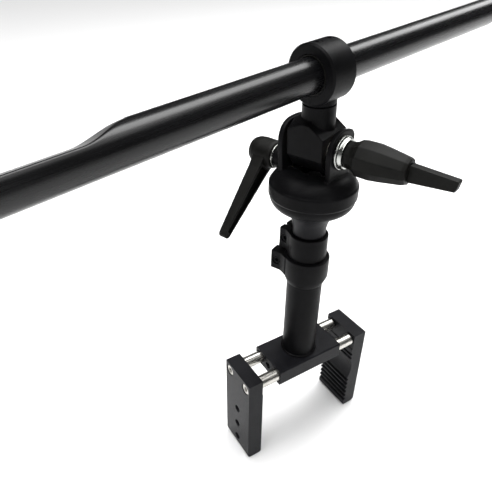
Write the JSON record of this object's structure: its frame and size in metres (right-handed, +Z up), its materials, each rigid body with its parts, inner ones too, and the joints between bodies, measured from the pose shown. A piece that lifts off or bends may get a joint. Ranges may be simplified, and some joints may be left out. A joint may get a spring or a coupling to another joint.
{
  "type": "clamp-on boom arm with grip head",
  "caption": "Clamp-on boom arm for studio grip work: two-jaw clamp on guide rods, telescopic mast, pan and tilt head with lock levers, and a boom in a ring.",
  "frame": {"origin": "on the mast's axis at the underside of the clamp block", "axes": "+X along the guide rods towards the right jaw, +Y to the back, +Z up along the mast"},
  "size_m": [0.5767, 0.1604, 0.3813],
  "materials": {
    "anodised_aluminium": "satin black anodised, fine bead-blasted grain",
    "black_coated_metal": "semi-matt black coating with a fine texture",
    "boom_black": "black anodised drawn tube, semi-gloss along its length",
    "black_plastic": "fine-grained black nylon moulding",
    "stainless_steel": "ground and turned stainless steel",
    "chrome": "bright plated",
    "brass": "turned brass",
    "nylon": "natural nylon"
  },
  "bodies": {
    "block": {"slide_block": "anodised_aluminium", "mast_foot_plug": "stainless_steel", "mast_foot_set_screw": "black_coated_metal", "mast_tube": "black_coated_metal", "lower_collar": "black_coated_metal", "lower_collar_bolt": "black_coated_metal", "lower_collar_nut": "black_coated_metal"},
    "jaw_frame": {"left_jaw": "anodised_aluminium", "right_jaw": "anodised_aluminium", "left_jaw_screw_front": "stainless_steel", "left_jaw_screw_rear": "stainless_steel", "right_jaw_screw_front": "stainless_steel", "right_jaw_screw_rear": "stainless_steel", "guide_rod_front": "stainless_steel", "guide_rod_rear": "stainless_steel"},
    "post": {"telescopic_post": "black_coated_metal", "upper_collar": "black_coated_metal", "upper_collar_bolt": "black_coated_metal", "upper_collar_nut": "black_coated_metal", "head_spigot": "anodised_aluminium", "pan_spindle": "black_coated_metal", "pan_washer": "black_coated_metal", "pan_nut": "black_coated_metal", "pan_thrust_washer": "nylon"},
    "yoke": {"yoke_base": "black_coated_metal", "pan_bush": "brass", "pan_brake_pin": "brass", "tilt_bolt": "stainless_steel", "tilt_washer": "chrome", "pan_lever_washer": "chrome", "tilt_disc_rear": "nylon", "tilt_disc_front": "nylon"},
    "knuckle": {"tilt_knuckle": "black_coated_metal", "boom_ring": "black_coated_metal", "ring_stem_screw": "black_coated_metal", "ring_lock_screw_1": "black_coated_metal", "ring_lock_screw_2": "black_coated_metal"},
    "liner": {"ring_liner": "nylon"},
    "boom": {"boom_tube": "boom_black", "boom_plug_right": "black_plastic", "boom_plug_left": "black_plastic"},
    "handle": {"tilt_handle": "black_plastic", "tilt_handle_ferrule": "chrome", "tilt_handle_nut": "brass", "tilt_handle_arm": "black_plastic", "tilt_handle_pin": "black_coated_metal"},
    "lever_insert": {"pan_lever_stud": "stainless_steel", "pan_lever_screw": "stainless_steel", "pan_lever_spring": "stainless_steel"},
    "lever": {"pan_lever": "black_plastic"}
  },
  "joints": [
    {"name": "jaw_slide", "type": "slide", "parent": "block", "child": "jaw_frame", "axis": [1, 0, 0], "range_m": [-0.0175, 0.0175]},
    {"name": "post_slide", "type": "slide", "parent": "block", "child": "post", "axis": [0, 0, 1], "range_m": [0, 0.04]},
    {"name": "head_pan", "type": "hinge", "parent": "post", "child": "yoke", "pos_m": [0, 0, 0.18], "axis": [0, 0, 1], "continuous": true},
    {"name": "head_tilt", "type": "hinge", "parent": "yoke", "child": "knuckle", "pos_m": [0, 0, 0.2175], "axis": [0.309, -0.9511, 0], "range_deg": [-60, 55]},
    {"name": "boom_turn", "type": "hinge", "parent": "knuckle", "child": "liner", "pos_m": [-0.00314, -0.00102, 0.27], "axis": [0.9763, 0.2073, 0.0624], "continuous": true},
    {"name": "boom_slide", "type": "slide", "parent": "liner", "child": "boom", "axis": [0.9763, 0.2073, 0.0624], "range_m": [-0.18, 0.12]},
    {"name": "handle_turn", "type": "hinge", "parent": "yoke", "child": "handle", "pos_m": [0.01545, -0.04755, 0.2175], "axis": [0.309, -0.9511, 0], "range_deg": [-180, 180]},
    {"name": "lever_turn", "type": "hinge", "parent": "yoke", "child": "lever_insert", "pos_m": [-0.01391, 0.0428, 0.1998], "axis": [-0.309, 0.9511, 0], "range_deg": [-180, 180]},
    {"name": "lever_pull", "type": "slide", "parent": "lever_insert", "child": "lever", "axis": [-0.309, 0.9511, 0], "range_m": [0, 0.0025], "stiffness_N_per_m": 800, "springref_m": -0.004}
  ]
}
